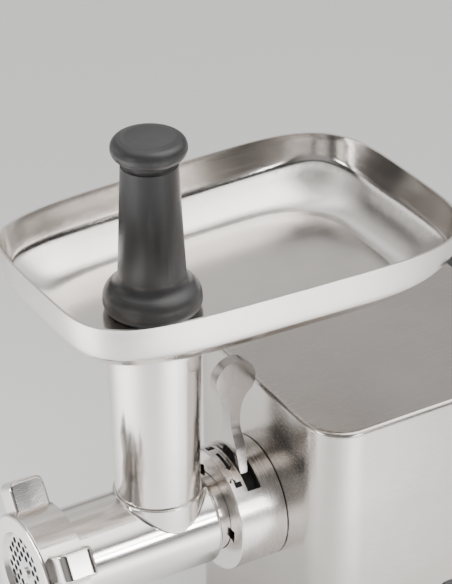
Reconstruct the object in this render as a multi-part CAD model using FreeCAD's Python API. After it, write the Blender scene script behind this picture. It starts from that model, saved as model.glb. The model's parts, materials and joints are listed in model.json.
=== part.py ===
import FreeCAD, Part

import math
import os

from FreeCAD import Placement, Rotation, Vector

# Electric meat grinder with a No. 8 grinding head. Millimetres, +Z up.
# The outlet points along -Y, the housing is behind it, and the lock lever swings towards +X.
# The origin lies on the table, under the middle of the machine's outline.

# ---------------------------------------------------------------- driving dimensions
AXIS_Z = 145.0            # height of the barrel and output axis
THROAT_Y = -102.0         # feed throat axis

# grinding head
BORE_R = 27.0             # barrel and throat bore
BARREL_R = 34.5
BARREL_REAR = THROAT_Y + 33.0
PLATE_R = 31.0            # perforated plate, 62 mm across
PLATE_THICK = 6.0
NUT_FRONT = THROAT_Y - 106.0
NUT_REAR = THROAT_Y - 75.0
NUT_R = 42.5
NUT_LIP = 3.5
NUT_LUG_R = 62.0
NUT_LUG_WIDTH = 20.0
THREAD_R = 37.0
THROAT_FOOT_R = 29.3      # outside of the throat tube at the barrel
THROAT_TOP_R = 31.8       # outside of the throat tube under the tray
SADDLE_R = 31.2           # cast seat under the foot of the throat tube
SADDLE_TOP = AXIS_Z + 34.6
SADDLE_FILLET = 3.0
SPIGOT_R = 28.5
LUG_R = 33.0              # bayonet lugs on the spigot
LUG_DEG = 7.5             # half of the angle that a lug takes up
LUG_PLACES = (-22, 98, 218)
BLADE_LENGTH = 9.0
SHANK_FLATS = 13.6        # hexagon drive across flats

# neck collar and lock
COLLAR_R = 44.3
COLLAR_FRONT = THROAT_Y + 41.5
COLLAR_BORE_R = 38.5
SLOT_FRONT = THROAT_Y + 52.8
SLOT_REAR = THROAT_Y + 63.5
SLOT_FROM_DEG = -16.0     # measured from straight up towards +X
SLOT_TO_DEG = 47.5
LOCK_RING_R = 38.1
COLLAR_SCREW_R = 41.4     # circle of the screws that hold the collar
TAB_DEG = 7.0             # half of the angle that a holding tab takes up
LEVER_FACE_X = 6.4
LEVER_SCREW_DEG = -9.4

# housing
HOUSING_FRONT = -23.6
HOUSING_HALF_WIDTH = 93.0
HOUSING_TOP = 240.0
HOUSING_BOTTOM = 12.0
HOUSING_CORNER_R = 28.5
HOUSING_TOP_FILLET = 3.5
SHEET = 2.0
SHELL_REAR = 182.0
COVER_REAR = 202.0
GLAND_REAR = 208.0

# food tray
TRAY_FLOOR_Z = 323.0
TRAY_RIM_Z = 366.0
TRAY_CENTRE_Y = THROAT_Y + 58.7
TRAY_HALF_X = 103.0
TRAY_HALF_Y = 145.4
TRAY_SHEET = 1.6
TRAY_TAPER = 0.126        # how much narrower the tray is at its front end
NECK_R = 33.4
NECK_BOTTOM = 296.0

# food pusher
PUSHER_TOP = 448.5
PUSHER_SHAFT_R = 26.2
GRIP_TOP = 429.0          # where the knob sits on the grip

# gear train: teeth and modules of the three stages, output stage first
PRESSURE = math.radians(25.0)
ADDENDUM = 0.8
DEDENDUM = 1.15
BACKLASH = 0.16
OUTPUT_TEETH, OUTPUT_PINION_TEETH, OUTPUT_MODULE = 42, 14, 1.5
MIDDLE_TEETH, MIDDLE_PINION_TEETH, MIDDLE_MODULE = 48, 12, 1.25
FIRST_TEETH, ROTOR_PINION_TEETH, FIRST_MODULE = 60, 10, 1.0
OUTPUT_LAYER = (-13.0, -1.0)
MIDDLE_LAYER = (2.0, 10.0)
FIRST_LAYER = (12.5, 19.5)
LAYSHAFT_R = 5.0
GEARBOX_X = (-54.0, 60.0)
GEARBOX_Z = (56.0, 184.0)
GEARBOX_SCREWS = ((-46.0, 64.0), (52.0, 64.0), (-46.0, 176.0), (52.0, 176.0))

# motor
STATOR_R = 42.0
STATOR_BORE_R = 24.4
ROTOR_R = 23.8
ROTOR_SHAFT_R = 4.0
FAN_R = 28.0
STATOR_FRONT, STATOR_REAR = 66.0, 116.0

# controls and fittings
FOOT_X = 68.0
FOOT_FRONT_Y, FOOT_REAR_Y = 8.0, 166.0
FOOT_R = 13.0
FOOT_HEIGHT = 12.0
SWITCH_Y = 96.0
SWITCH_Z = 66.0
ROCKER_PIVOT_X = 83.0
ROCKER_R = 15.0
ROCKER_WIDTH = 14.0
ROCKER_PITCH = 20.0
ROCKER_REST_DEG = 7.0
GLAND_X, GLAND_Z = -58.0, 42.0
RESET_X, RESET_Z = 58.0, 42.0

X_AXIS = Vector(1, 0, 0)
Y_AXIS = Vector(0, 1, 0)
Z_AXIS = Vector(0, 0, 1)


# ---------------------------------------------------------------- helpers
def save(name, shape):
    """Write one sub-part, refusing anything that is not a sound solid."""
    if not shape.isValid() or not shape.Solids:
        raise ValueError(f"{name} is not a sound solid")
    shape.exportStep(f"parts/{name}.step")
    print(f"{name}: {len(shape.Solids)} solid(s), {shape.Volume / 1000:.2f} cm3")


def rod_x(radius, x_from, x_to, y, z):
    return Part.makeCylinder(radius, x_to - x_from, Vector(x_from, y, z), X_AXIS)


def rod_y(radius, y_from, y_to, x=0.0, z=AXIS_Z):
    return Part.makeCylinder(radius, y_to - y_from, Vector(x, y_from, z), Y_AXIS)


def rod_z(radius, z_from, z_to, x=0.0, y=THROAT_Y):
    return Part.makeCylinder(radius, z_to - z_from, Vector(x, y, z_from), Z_AXIS)


def tube_y(outer, inner, y_from, y_to, x=0.0, z=AXIS_Z):
    return rod_y(outer, y_from, y_to, x, z).cut(rod_y(inner, y_from - 1, y_to + 1, x, z))


def block(x_span, y_span, z_span):
    size = [high - low for low, high in (x_span, y_span, z_span)]
    return Part.makeBox(*size, Vector(x_span[0], y_span[0], z_span[0]))


def around_barrel(shape, degrees):
    """A copy turned about the barrel axis, positive from straight up towards +X."""
    copy = shape.copy()
    copy.rotate(Vector(0, 0, AXIS_Z), Y_AXIS, degrees)
    return copy


def union(shapes):
    first, *rest = shapes
    return first.multiFuse(rest).removeSplitter() if rest else first


def group(shapes):
    return Part.makeCompound(shapes)


def fillet_where(shape, radius, wanted):
    """Round every edge for which wanted(edge) is true."""
    edges = [edge for edge in shape.Edges if wanted(edge)]
    return shape.makeFillet(radius, edges)


def polar(radius, angle, y, x=0.0, z=AXIS_Z):
    """A point at an angle in the X-Z plane, counted from +X towards +Z."""
    return Vector(x + radius * math.cos(angle), y, z + radius * math.sin(angle))


def revolved(edges, axis_point, axis):
    face = Part.Face(Part.Wire(edges))
    return face.revolve(axis_point, axis, 360)


def path_edges(start, steps):
    """Edges from start: each step is an end point, or a (middle, end) pair for an arc."""
    edges = []
    here = start
    for step in steps:
        if isinstance(step, tuple):
            edges.append(Part.Arc(here, *step).toShape())
            here = step[-1]
        else:
            edges.append(Part.makeLine(here, step))
            here = step
    return edges


def hexagon_rod(flats, y_from, y_to):
    corner_r = flats / math.sqrt(3)
    corners = [polar(corner_r, math.radians(60 * i), y_from) for i in range(7)]
    return Part.Face(Part.makePolygon(corners)).extrude(Vector(0, y_to - y_from, 0))


def rounded_slab(x_span, z_span, y_span, corner):
    slab = block(x_span, y_span, z_span)
    return fillet_where(slab, corner, lambda e: is_along(e, Y_AXIS))


def is_along(edge, axis):
    if edge.Curve.TypeId != "Part::GeomLine":
        return False
    return abs(edge.tangentAt(edge.FirstParameter).dot(axis)) > 0.999


def pan_head_screw(radius, head_r, head_height, length, head_at, direction):
    """A screw whose head rests on head_at and whose shank runs along direction."""
    back = head_at - direction * head_height
    head = Part.makeCylinder(head_r, head_height, back, direction)
    head = fillet_where(head, head_height * 0.4, lambda e: e.CenterOfMass.distanceToPoint(back) < 0.01)
    cross = Part.makeCylinder(head_r * 0.35, head_height * 0.5, back, direction)
    return head.fuse(Part.makeCylinder(radius, length, head_at, direction)).cut(cross)


# ---------------------------------------------------------------- grinding head
def grinder_head():
    """Cast barrel with its feed throat, threaded front and rear spigot with bayonet lugs."""
    barrel_front = NUT_FRONT + NUT_LIP + 4.0
    tube_z = AXIS_Z + 140.0
    barrel = rod_y(BARREL_R, NUT_REAR + 2, BARREL_REAR)
    barrel = fillet_where(barrel, 4.0, lambda e: e.CenterOfMass.y > BARREL_REAR - 1)
    saddle = rod_z(SADDLE_R, AXIS_Z, SADDLE_TOP)
    saddle = fillet_where(saddle, 1.2, lambda e: e.CenterOfMass.z > SADDLE_TOP - 0.01)
    body = union([barrel, saddle])
    body = fillet_where(
        body, SADDLE_FILLET,
        lambda e: e.Curve.TypeId == "Part::GeomBSplineCurve" and e.CenterOfMass.z > AXIS_Z,
    )
    tube = Part.makeCone(
        THROAT_FOOT_R, THROAT_TOP_R, tube_z - SADDLE_TOP, Vector(0, THROAT_Y, SADDLE_TOP), Z_AXIS
    )
    top = rod_z(THROAT_TOP_R, tube_z, TRAY_FLOOR_Z - TRAY_SHEET)
    body = body.fuse([tube, top])
    thread = rod_y(THREAD_R, barrel_front, NUT_REAR + 2)
    spigot = rod_y(SPIGOT_R, BARREL_REAR - 5, THROAT_Y + 66)
    body = body.fuse([thread, spigot])
    for degrees in LUG_PLACES:
        lug = sector(LUG_R, SPIGOT_R - 1, THROAT_Y + 60, THROAT_Y + 65, degrees - LUG_DEG, degrees + LUG_DEG)
        body = body.fuse(lug)
    hollow = [
        rod_y(PLATE_R + 0.1, barrel_front - 1, THROAT_Y - 86),
        rod_y(BORE_R, THROAT_Y - 87, THROAT_Y + 24),
        rod_y(14.6, THROAT_Y + 20, THROAT_Y + 40),
        rod_y(20.0, THROAT_Y + 37, THROAT_Y + 70),
        rod_z(BORE_R, AXIS_Z, TRAY_FLOOR_Z + 1),
    ]
    return body.cut(hollow).removeSplitter()


def auger():
    """Feed screw with a square nose for the blade, a pin for the plate and a hexagon shank."""
    front, rear = THROAT_Y - 85, THROAT_Y + 21
    pitch = 36.0
    helix = Part.makeHelix(pitch, rear - front, 14.0)
    profile = Part.makePolygon([
        Vector(9, 0, -3.4), Vector(26.3, 0, -1.6), Vector(26.3, 0, 1.6), Vector(9, 0, 3.4),
        Vector(9, 0, -3.4),
    ])
    flight = Part.Wire(helix).makePipeShell([profile], True, True)
    turn_to_barrel = Placement(Vector(0, rear, AXIS_Z), Rotation(X_AXIS, 90))
    flight.Placement = turn_to_barrel.multiply(flight.Placement)
    trim = rod_y(30, front, rear)
    core = Part.makeCone(10.5, 15.0, rear - front, Vector(0, front, AXIS_Z), Y_AXIS)
    nose = block((-5, 5), (front - 11, front + 1), (AXIS_Z - 5, AXIS_Z + 5))
    pin = rod_y(4.0, NUT_FRONT + 2, front)
    journal = rod_y(12.0, rear - 1, THROAT_Y + 45)
    shank = hexagon_rod(SHANK_FLATS, THROAT_Y + 44, THROAT_Y + 71)
    return core.fuse([flight.common(trim), nose, pin, journal, shank])


def auger_bush():
    """Nylon thrust bush between the auger's journal and the rear wall of the barrel."""
    sleeve = rod_y(14.6, THROAT_Y + 24, THROAT_Y + 37)
    flange = rod_y(21.0, THROAT_Y + 21.4, THROAT_Y + 24)
    return sleeve.fuse(flange).cut(rod_y(12.05, THROAT_Y + 20, THROAT_Y + 40))


def cutting_blade():
    """Four-armed knife on the auger's square nose."""
    front = NUT_FRONT + NUT_LIP + PLATE_THICK
    hub = rod_y(9.5, front, front + BLADE_LENGTH)
    arm = block((-4.5, 2.5), (front, front + 5.5), (AXIS_Z + 5, AXIS_Z + 26))
    slope = block((-12, 0), (0, 12), (AXIS_Z, AXIS_Z + 30))
    slope.rotate(Vector(0, 0, AXIS_Z), Z_AXIS, -28)
    slope.translate(Vector(-3.5, front + 2.5, 0))
    arm = arm.cut(slope)
    blade = hub.fuse([around_barrel(arm, 90 * i) for i in range(4)])
    blade = blade.common(rod_y(26.0, front, front + BLADE_LENGTH))
    return blade.cut(block((-5.05, 5.05), (front - 1, front + 12), (AXIS_Z - 5.05, AXIS_Z + 5.05)))


def grinding_plate():
    """Perforated disc with a keyway at the top and a bearing hole for the auger's pin."""
    front = NUT_FRONT + NUT_LIP
    plate = rod_y(PLATE_R, front, front + PLATE_THICK)
    pitch = 6.6
    holes = [rod_y(4.06, front - 1, front + 8)]
    for row in range(-5, 6):
        z = AXIS_Z + row * pitch * math.sqrt(3) / 2
        for column in range(-5, 6):
            x = (column + (0.5 if row % 2 else 0.0)) * pitch
            reach = math.hypot(x, z - AXIS_Z)
            if 8.5 < reach < 26.2:
                holes.append(rod_y(2.4, front - 1, front + 8, x, z))
    holes.append(rod_y(2.1, front - 1, front + 8, 0.0, AXIS_Z + PLATE_R))
    return plate.cut(holes)


def plate_key():
    """Pin in the barrel's mouth that stops the plate from turning."""
    front = NUT_FRONT + NUT_LIP + 0.2
    key = rod_y(1.9, front, THROAT_Y - 88, 0.0, AXIS_Z + PLATE_R)
    return key.common(rod_y(PLATE_R + 0.1, front, THROAT_Y - 88))


def ring_nut():
    """Front ring that holds the plate, with four grip lugs."""
    body = rod_y(NUT_R, NUT_FRONT, NUT_REAR)
    body = fillet_where(body, 2.5, lambda e: e.CenterOfMass.y < NUT_FRONT + 1)
    for quarter in range(4):
        lug = block(
            (-NUT_LUG_WIDTH / 2, NUT_LUG_WIDTH / 2), (NUT_FRONT + 5, NUT_REAR),
            (AXIS_Z + NUT_R - 4, AXIS_Z + NUT_LUG_R),
        )
        lug = fillet_where(
            lug, 6.0,
            lambda e: is_along(e, X_AXIS) and e.CenterOfMass.z > AXIS_Z + NUT_LUG_R - 1,
        )
        lug = fillet_where(
            lug, 2.0,
            lambda e: is_along(e, Y_AXIS) and e.CenterOfMass.z > AXIS_Z + NUT_LUG_R - 1,
        )
        body = body.fuse(around_barrel(lug, -33.0 + 90 * quarter))
    cavity = rod_y(THREAD_R + 0.35, NUT_FRONT + NUT_LIP, NUT_REAR + 1)
    mouth = Part.makeCone(30.0, 28.0, NUT_LIP, Vector(0, NUT_FRONT, AXIS_Z), Y_AXIS)
    return body.cut([cavity, mouth, rod_y(28.0, NUT_FRONT + 1, NUT_REAR)])


# ---------------------------------------------------------------- neck collar and lock
def sector(outer, inner, y_from, y_to, from_deg, to_deg):
    """Part of a ring about the barrel axis, between two angles from straight up towards +X."""
    profile = Part.makePolygon([
        Vector(0, y_from, AXIS_Z + inner), Vector(0, y_from, AXIS_Z + outer),
        Vector(0, y_to, AXIS_Z + outer), Vector(0, y_to, AXIS_Z + inner),
        Vector(0, y_from, AXIS_Z + inner),
    ])
    ring = Part.Face(profile).revolve(Vector(0, 0, AXIS_Z), Y_AXIS, to_deg - from_deg)
    return around_barrel(ring, from_deg)


def neck_collar():
    """Fixed collar on the housing, with the lever's slot and a shallow band for the lock marks."""
    rear = HOUSING_FRONT - 0.6
    collar = rod_y(COLLAR_R, COLLAR_FRONT, rear)
    collar = fillet_where(collar, 0.8, lambda e: e.CenterOfMass.y < COLLAR_FRONT + 1 and e.Length > 100)
    band = sector(COLLAR_R + 2, COLLAR_R - 0.35, COLLAR_FRONT + 1.2, SLOT_FRONT - 0.8, -50, 47)
    slot = sector(COLLAR_R + 2, COLLAR_BORE_R - 2, SLOT_FRONT, SLOT_REAR, SLOT_FROM_DEG, SLOT_TO_DEG)
    notches = [
        sector(LUG_R + 0.6, SPIGOT_R - 1, COLLAR_FRONT - 1, COLLAR_FRONT + 6,
               degrees - LUG_DEG - 0.8, degrees + LUG_DEG + 0.8)
        for degrees in LUG_PLACES
    ]
    bore = rod_y(COLLAR_BORE_R, COLLAR_FRONT + 4.5, rear + 1)
    mouth = rod_y(SPIGOT_R + 0.6, COLLAR_FRONT - 1, COLLAR_FRONT + 6)
    return collar.cut([band, slot, bore, mouth] + notches + collar_screw_rods(1.6, rear - 9, rear + 1))


def collar_screw_angles():
    return [math.radians(45 + 90 * i) for i in range(4)]


def collar_screw_rods(radius, y_from, y_to):
    """Rods along the four screws that hold the collar."""
    return [
        rod_y(radius, y_from, y_to, COLLAR_SCREW_R * math.cos(a), AXIS_Z + COLLAR_SCREW_R * math.sin(a))
        for a in collar_screw_angles()
    ]


def collar_gasket():
    ring = tube_y(43.2, 38.5, HOUSING_FRONT - 0.6, HOUSING_FRONT)
    return ring.cut(collar_screw_rods(1.6, HOUSING_FRONT - 2, HOUSING_FRONT + 1))


def collar_screws():
    """Four screws from inside the housing into the collar."""
    return group([
        pan_head_screw(1.5, 2.7, 1.8, 9.0, polar(COLLAR_SCREW_R, a, HOUSING_FRONT + SHEET), Vector(0, -1, 0))
        for a in collar_screw_angles()
    ])


def lever_screw_rod(radius, from_r, to_r):
    return around_barrel(rod_z(radius, AXIS_Z + from_r, AXIS_Z + to_r, 0.0, THROAT_Y + 58), LEVER_SCREW_DEG)


def locking_ring():
    """Ring in the collar whose three inner tabs hold the head's lugs when locked."""
    ring = tube_y(LOCK_RING_R, 33.6, COLLAR_FRONT + 4.8, THROAT_Y + 68.6)
    tabs = [
        sector(34.5, 29.1, THROAT_Y + 55, THROAT_Y + 59.6, degrees - TAB_DEG, degrees + TAB_DEG)
        for degrees in LUG_PLACES
    ]
    return ring.fuse(tabs).cut(lever_screw_rod(1.3, 30, 40))


def smooth_edge(points):
    curve = Part.BSplineCurve()
    curve.interpolate(Points=points)
    return curve.toShape()


def lever_side_view():
    """Outline across the lever, seen from +X: a round paddle on a waisted stem."""
    def at(y, z):
        return Vector(0, THROAT_Y + y, AXIS_Z + z)

    front_join, top, rear_join = at(47.4, 94.2), at(59.65, 119.3), at(71.7, 94.0)
    front = smooth_edge([
        at(53.5, 30), at(53.5, 42), at(53.9, 52), at(55.1, 62), at(54.8, 75), at(53.3, 83.5),
        at(50.7, 89.5), front_join,
    ])
    paddle = Part.Arc(front_join, top, rear_join).toShape()
    rear = smooth_edge([
        rear_join, at(67.3, 90.2), at(64.6, 85.2), at(63.0, 78.5), at(62.5, 70), at(62.6, 61),
        at(60.8, 49), at(58.2, 36), at(57.6, 30),
    ])
    return Part.Wire([front, paddle, rear, Part.makeLine(at(57.6, 30), at(53.5, 30))])


def lever_front_view():
    """Outline along the lever, seen from -Y: upright, with a foot on one side and a tongue on the other."""
    def at(x, z):
        return Vector(x, 0, AXIS_Z + z)

    tongue = smooth_edge([
        at(LEVER_FACE_X, 68), at(8.3, 62.6), at(13.7, 55.3), at(18.6, 46.7), at(22.4, 38.3),
    ])
    arch = smooth_edge([at(18.8, 37.0), at(15.2, 44.5), at(11.6, 49.3), at(7.5, 51.0)])
    foot = smooth_edge([at(-9.6, 36), at(-9.0, 44), at(-6.8, 53), at(-5.1, 63), at(-4.1, 76), at(-2.6, 92)])
    return Part.Wire([
        Part.makeLine(at(LEVER_FACE_X, 125), at(LEVER_FACE_X, 68)),
        tongue,
        Part.makeLine(at(22.4, 38.3), at(18.7, 32)), Part.makeLine(at(18.7, 32), at(16.6, 32)),
        Part.makeLine(at(16.6, 32), at(18.8, 37.0)), arch,
        Part.makeLine(at(7.5, 51.0), at(1.0, 50.5)), Part.makeLine(at(1.0, 50.5), at(-2.4, 46.5)),
        Part.makeLine(at(-2.4, 46.5), at(-3.2, 32)), Part.makeLine(at(-3.2, 32), at(-9.6, 32)),
        Part.makeLine(at(-9.6, 32), at(-9.6, 36)), foot,
        Part.makeLine(at(-2.6, 92), at(-2.2, 125)), Part.makeLine(at(-2.2, 125), at(LEVER_FACE_X, 125)),
    ])


def locking_lever():
    """Spoon-shaped lever that stands up from the locking ring through the collar's slot."""
    side = Part.Face(lever_side_view()).extrude(Vector(60, 0, 0))
    side.translate(Vector(-30, 0, 0))
    front = Part.Face(lever_front_view()).extrude(Vector(0, 60, 0))
    front.translate(Vector(0, THROAT_Y + 30, 0))
    lever = side.common(front)
    return lever.cut([rod_y(LOCK_RING_R, COLLAR_FRONT, HOUSING_FRONT), lever_screw_rod(1.3, 30, 46)])


def lever_screw():
    """Screw from inside the locking ring up into the lever's foot."""
    return lever_screw_rod(1.25, 34.9, 45.5)


# ---------------------------------------------------------------- food tray and pusher
def tray_outline(z, inset, front_power, rear_power, corner_lift):
    """Closed outline of the dish at one height: a rounded rectangle that narrows to the front.

    The powers set how square the corners are, and corner_lift raises the rear corners."""
    half_x = TRAY_HALF_X - inset
    half_y = TRAY_HALF_Y - inset
    points = []
    count = 72
    for i in range(count):
        angle = 2 * math.pi * (i + 0.5) / count
        c, s = math.cos(angle), math.sin(angle)
        rearward = (1 + s) / 2
        power = front_power + (rear_power - front_power) * rearward
        x = half_x * math.copysign(abs(c) ** (2 / power), c)
        y = half_y * math.copysign(abs(s) ** (2 / power), s)
        x *= 1 - TRAY_TAPER * (1 - y / half_y) / 2
        lift = corner_lift * rearward * abs(math.sin(2 * angle)) ** 3
        points.append(Vector(x, TRAY_CENTRE_Y + y, z + lift))
    curve = Part.BSplineCurve()
    curve.interpolate(Points=points, PeriodicFlag=True)
    return Part.Wire(curve.toShape())


# depth under the rim, distance inside the rim, powers of the corners, lift of the rear corners
TRAY_LEVELS = (
    (0.0, 0.0, 5.0, 4.10, 0.0), (8.0, 1.0, 5.0, 4.10, 0.3), (16.0, 2.2, 4.95, 4.10, 2.0),
    (21.5, 3.3, 4.9, 4.1, 4.0), (25.0, 4.9, 4.9, 4.1, 5.5), (27.5, 7.2, 4.9, 4.1, 5.8),
    (31.0, 10.8, 4.9, 4.1, 5.0), (35.0, 15.6, 4.9, 4.15, 3.6), (38.4, 20.6, 4.9, 4.2, 2.2),
    (40.9, 25.6, 4.9, 4.2, 1.0), (42.4, 30.6, 4.9, 4.2, 0.3), (43.0, 36.0, 4.9, 4.2, 0.0),
)


def dish(drop, inset):
    """Solid inside the tray's levels, lowered by drop at the floor and moved inwards by inset."""
    deepest = TRAY_LEVELS[-1][0]
    wires = [
        tray_outline(TRAY_RIM_Z - depth - drop * min(1.0, depth / (0.75 * deepest)), inside + inset, *shape)
        for depth, inside, *shape in TRAY_LEVELS
    ]
    if inset:
        wires.insert(0, tray_outline(TRAY_RIM_Z + 4, inset, *TRAY_LEVELS[0][2:]))
    return Part.makeLoft(wires, True, False)


def food_tray():
    """Deep drawn tray with a sloping band round a flat floor, and a hole over the throat."""
    tray = dish(TRAY_SHEET, 0.0).cut(dish(0.0, TRAY_SHEET))
    return tray.cut(rod_z(BORE_R + 0.4, TRAY_FLOOR_Z - 4, TRAY_FLOOR_Z + 2))


def tray_neck():
    """Collar welded under the tray that slips over the throat."""
    neck = rod_z(NECK_R, NECK_BOTTOM, TRAY_FLOOR_Z - TRAY_SHEET)
    return neck.cut(rod_z(THROAT_TOP_R + 0.3, NECK_BOTTOM - 1, TRAY_FLOOR_Z))


def pusher_point(radius, z):
    return Vector(radius, THROAT_Y, z)


def food_pusher():
    """Stomper: a plug that fills the throat, a bulge that rests on the tray and a tapered grip."""
    bottom = AXIS_Z + 41
    floor = TRAY_FLOOR_Z
    edges = path_edges(pusher_point(0, bottom), [
        pusher_point(PUSHER_SHAFT_R - 2, bottom),
        (pusher_point(PUSHER_SHAFT_R - 0.6, bottom + 0.6), pusher_point(PUSHER_SHAFT_R, bottom + 2)),
        pusher_point(PUSHER_SHAFT_R, floor),
        pusher_point(29.0, floor),
        (pusher_point(32.2, floor + 3.0), pusher_point(33.1, floor + 8.5)),
        (pusher_point(32.0, floor + 14.0), pusher_point(28.4, floor + 18.4)),
        (pusher_point(24.5, floor + 21.8), pusher_point(22.7, floor + 28.0)),
        pusher_point(19.0, GRIP_TOP),
        pusher_point(0, GRIP_TOP),
        pusher_point(0, bottom),
    ])
    return revolved(edges, Vector(0, THROAT_Y, 0), Z_AXIS)


def pusher_knob():
    """Flat rounded knob with a dished top, fixed on the stomper's grip above a waisted ring."""
    edges = path_edges(pusher_point(0, GRIP_TOP), [
        pusher_point(18.6, GRIP_TOP),
        (pusher_point(17.4, GRIP_TOP + 2.4), pusher_point(18.0, GRIP_TOP + 5.0)),
        (pusher_point(22.8, GRIP_TOP + 6.4), pusher_point(25.1, GRIP_TOP + 11.0)),
        (pusher_point(24.0, GRIP_TOP + 16.0), pusher_point(19.5, PUSHER_TOP - 0.6)),
        (pusher_point(17.3, PUSHER_TOP), pusher_point(14.5, PUSHER_TOP - 0.3)),
        (pusher_point(10.0, PUSHER_TOP - 1.0), pusher_point(5.0, PUSHER_TOP - 1.3)),
        pusher_point(0, PUSHER_TOP - 1.3),
        pusher_point(0, GRIP_TOP),
    ])
    return revolved(edges, Vector(0, THROAT_Y, 0), Z_AXIS)


# ---------------------------------------------------------------- housing
def housing_profile(inset, front, rear, bottom, top):
    """Prism with rounded front corners, square at the rear."""
    half = HOUSING_HALF_WIDTH - inset
    corner = HOUSING_CORNER_R - inset
    prism = block((-half, half), (front, rear), (bottom, top))
    return fillet_where(prism, corner, lambda e: is_along(e, Z_AXIS) and e.CenterOfMass.y < front + 1)


def vent_slots(x_span, y_span, z_from, pitch, count, height):
    """Horizontal slots one above another, cut through whatever lies in the spans."""
    return [
        block(x_span, y_span, (z_from + i * pitch, z_from + i * pitch + height))
        for i in range(count)
    ]


def housing_shell():
    """Folded stainless cover, open underneath and at the rear."""
    outer = housing_profile(0.0, HOUSING_FRONT, SHELL_REAR, HOUSING_BOTTOM, HOUSING_TOP)
    outer = fillet_where(
        outer, HOUSING_TOP_FILLET,
        lambda e: abs(e.CenterOfMass.z - HOUSING_TOP) < 0.01 and e.CenterOfMass.y < SHELL_REAR - 1,
    )
    inner = housing_profile(
        SHEET, HOUSING_FRONT + SHEET, SHELL_REAR + 40, HOUSING_BOTTOM - 40, HOUSING_TOP - SHEET
    )
    neck_hole = rod_y(37.0, HOUSING_FRONT - 1, HOUSING_FRONT + 4)
    screw_holes = collar_screw_rods(1.7, HOUSING_FRONT - 1, HOUSING_FRONT + 4)
    switch_span = ROCKER_PITCH * 1.5 + 7.0
    switch_hole = block(
        (HOUSING_HALF_WIDTH - 5, HOUSING_HALF_WIDTH + 5),
        (SWITCH_Y - switch_span / 2, SWITCH_Y + switch_span / 2),
        (SWITCH_Z - 17.5, SWITCH_Z + 17.5),
    )
    return outer.cut([inner, neck_hole, switch_hole] + screw_holes)


def rear_cover():
    """Moulded rear cover with vents, the cord inlet and the reset button's hole."""
    half = HOUSING_HALF_WIDTH
    cover = block((-half, half), (SHELL_REAR, COVER_REAR), (HOUSING_BOTTOM, HOUSING_TOP))
    cover = fillet_where(
        cover, 14.0, lambda e: is_along(e, Z_AXIS) and e.CenterOfMass.y > COVER_REAR - 1
    )
    cover = fillet_where(
        cover, HOUSING_TOP_FILLET,
        lambda e: abs(e.CenterOfMass.z - HOUSING_TOP) < 0.01 and e.CenterOfMass.y > SHELL_REAR + 0.5,
    )
    wall = 2.6
    pocket = block((-half + wall, half - wall), (SHELL_REAR - 1, COVER_REAR - wall),
                   (HOUSING_BOTTOM + wall, HOUSING_TOP - wall))
    pocket = fillet_where(
        pocket, 14.0 - wall, lambda e: is_along(e, Z_AXIS) and e.CenterOfMass.y > SHELL_REAR + 5
    )
    spigot = block((-half + SHEET + 0.1, half - SHEET - 0.1), (SHELL_REAR - 6, SHELL_REAR),
                   (HOUSING_BOTTOM + SHEET + 3.5, HOUSING_TOP - SHEET - 0.1))
    spigot = spigot.cut(block((-half + 5, half - 5), (SHELL_REAR - 10, SHELL_REAR + 5),
                              (HOUSING_BOTTOM + 8, HOUSING_TOP - 5)))
    cuts = [pocket, rod_y(9.1, COVER_REAR - 6, COVER_REAR + 1, GLAND_X, GLAND_Z)]
    cuts.append(rod_y(5.2, COVER_REAR - 6, COVER_REAR + 1, RESET_X, RESET_Z))
    for x_span in ((-62, -4), (4, 62)):
        cuts += vent_slots(x_span, (COVER_REAR - 5, COVER_REAR + 1), 96, 9.0, 9, 4.0)
    bosses = []
    for x in (-76.0, 76.0):
        for z in (30.0, 220.0):
            boss = rod_y(5.5, SHELL_REAR + 1, COVER_REAR - 1, x, z)
            bosses.append(boss)
            cuts.append(rod_y(1.8, SHELL_REAR - 10, COVER_REAR + 1, x, z))
            cuts.append(rod_y(3.4, COVER_REAR - 2.2, COVER_REAR + 1, x, z))
    shell = cover.cut(cuts[0]).fuse([spigot] + bosses)
    return shell.cut(cuts[1:])


def rear_cover_screws():
    screws = []
    for x in (-76.0, 76.0):
        for z in (30.0, 220.0):
            seat = Vector(x, COVER_REAR - 2.2, z)
            screws.append(pan_head_screw(1.6, 3.1, 2.0, 20.0, seat, Vector(0, -1, 0)))
    return group(screws)


def rear_frame():
    """Pressed frame behind the shell that takes the rear cover's screws."""
    rear = SHELL_REAR - 6.5
    bars = [block((x - 8, x + 8), (rear - 2, rear), (15.2, HOUSING_TOP - 6)) for x in (-76.0, 76.0)]
    bars.append(block((-68, 68), (rear - 2, rear), (HOUSING_TOP - 22, HOUSING_TOP - 6)))
    bars.append(block((-84, 84), (rear - 16, rear), (15.0, 17.0)))
    frame = union(bars)
    holes = [rod_y(1.7, rear - 5, rear + 5, x, z) for x in (-76.0, 76.0) for z in (30.0, 220.0)]
    holes += [rod_z(2.1, 14, 18, x, y) for x, y in foot_places()]
    return frame.cut(holes)


def base_plate():
    """Bottom plate with air slots and the holes for the feet."""
    plate = housing_profile(SHEET + 0.2, HOUSING_FRONT + SHEET + 0.2, SHELL_REAR - 0.4,
                            HOUSING_BOTTOM, HOUSING_BOTTOM + 3)
    slots = []
    for i in range(10):
        y = 34 + i * 11.0
        for x_span in ((-48, -6), (6, 48)):
            slots.append(block(x_span, (y, y + 5), (HOUSING_BOTTOM - 1, HOUSING_BOTTOM + 4)))
    holes = [rod_z(2.2, HOUSING_BOTTOM - 1, HOUSING_BOTTOM + 4, x, y) for x, y in foot_places()]
    return plate.cut(slots + holes)


def foot_places():
    return [(x, y) for x in (-FOOT_X, FOOT_X) for y in (FOOT_FRONT_Y, FOOT_REAR_Y)]


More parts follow.
